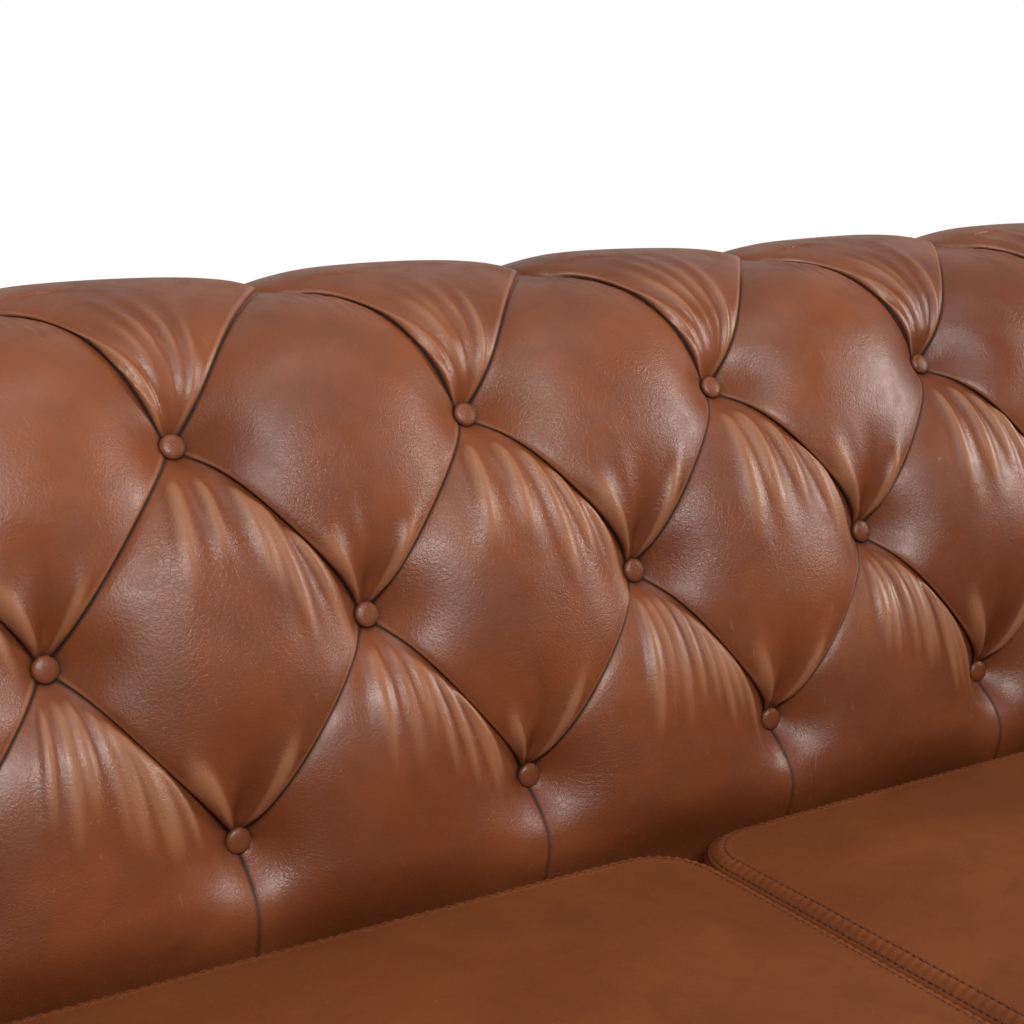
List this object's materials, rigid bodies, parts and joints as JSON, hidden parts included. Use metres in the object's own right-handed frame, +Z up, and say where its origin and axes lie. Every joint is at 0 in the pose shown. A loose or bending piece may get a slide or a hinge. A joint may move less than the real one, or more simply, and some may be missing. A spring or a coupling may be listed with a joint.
{
  "type": "chesterfield sofa",
  "caption": "Deep-buttoned leather sofa with rolled arms and a rolled back at one height, loose seat cushions on a sprung base and turned wooden feet.",
  "frame": {"origin": "middle of the footprint, on the floor", "axes": "+Z up, +X along the sofa to the viewer's right, the front faces -Y"},
  "size_m": [2.1886, 0.9276, 0.8217],
  "materials": {
    "leather": "satin",
    "button_leather": "satin",
    "foam": "matte",
    "webbing": "matte",
    "steel": "satin",
    "antique_brass": "satin",
    "turned_wood": "satin",
    "glide_plastic": "matte",
    "black_cloth": "matte",
    "frame_wood": "matte"
  },
  "bodies": {
    "root": {"arm_buttons_left": "button_leather", "arm_buttons_right": "button_leather", "arm_facing_board_left": "frame_wood", "arm_facing_board_right": "frame_wood", "arm_facing_cover_left": "leather", "arm_facing_cover_right": "leather", "arm_foam_left": "foam", "arm_foam_right": "foam", "arm_inner_rail_left": "frame_wood", "arm_inner_rail_right": "frame_wood", "arm_ribs_left": "frame_wood", "arm_ribs_right": "frame_wood", "arm_roll_foam_left": "foam", "arm_roll_foam_right": "foam", "arm_top_rail_left": "frame_wood", "arm_top_rail_right": "frame_wood", "arm_webbing_left": "webbing", "arm_webbing_right": "webbing", "back_buttons": "button_leather", "back_foam": "foam", "back_inner_rail": "frame_wood", "back_ribs": "frame_wood", "back_roll_foam": "foam", "back_top_rail": "frame_wood", "back_webbing": "webbing", "button_ties": "webbing", "centre_rail": "frame_wood", "corner_posts": "frame_wood", "deck_cloth": "webbing", "deck_felt": "foam", "deck_foam": "foam", "dust_cover": "black_cloth", "facing_nails_left": "antique_brass", "facing_nails_right": "antique_brass", "feet": "turned_wood", "foot_blocks": "frame_wood", "foot_bolts": "steel", "foot_glides": "glide_plastic", "foot_tee_nuts": "steel", "front_border_cover": "leather", "front_border_pad": "foam", "front_rail": "frame_wood", "inside_arm_cover_left": "leather", "inside_arm_cover_right": "leather", "inside_back_cover": "leather", "outside_arm_panel_left": "leather", "outside_arm_panel_right": "leather", "outside_back_panel": "leather", "rear_rail": "frame_wood", "seat_springs": "steel", "side_rail_left": "frame_wood", "side_rail_right": "frame_wood", "spring_clips": "steel"},
    "seat_cushion_left": {"seat_cushion_cover_left": "leather", "seat_cushion_core_left": "foam", "seat_cushion_zip_left": "antique_brass"},
    "seat_cushion_right": {"seat_cushion_cover_right": "leather", "seat_cushion_core_right": "foam", "seat_cushion_zip_right": "antique_brass"}
  },
  "joints": [
    {"name": "seat_cushion_left_lift", "type": "slide", "parent": "root", "child": "seat_cushion_left", "axis": [0, 0, 1], "range_m": [0, 0.4]},
    {"name": "seat_cushion_right_lift", "type": "slide", "parent": "root", "child": "seat_cushion_right", "axis": [0, 0, 1], "range_m": [0, 0.4]}
  ]
}
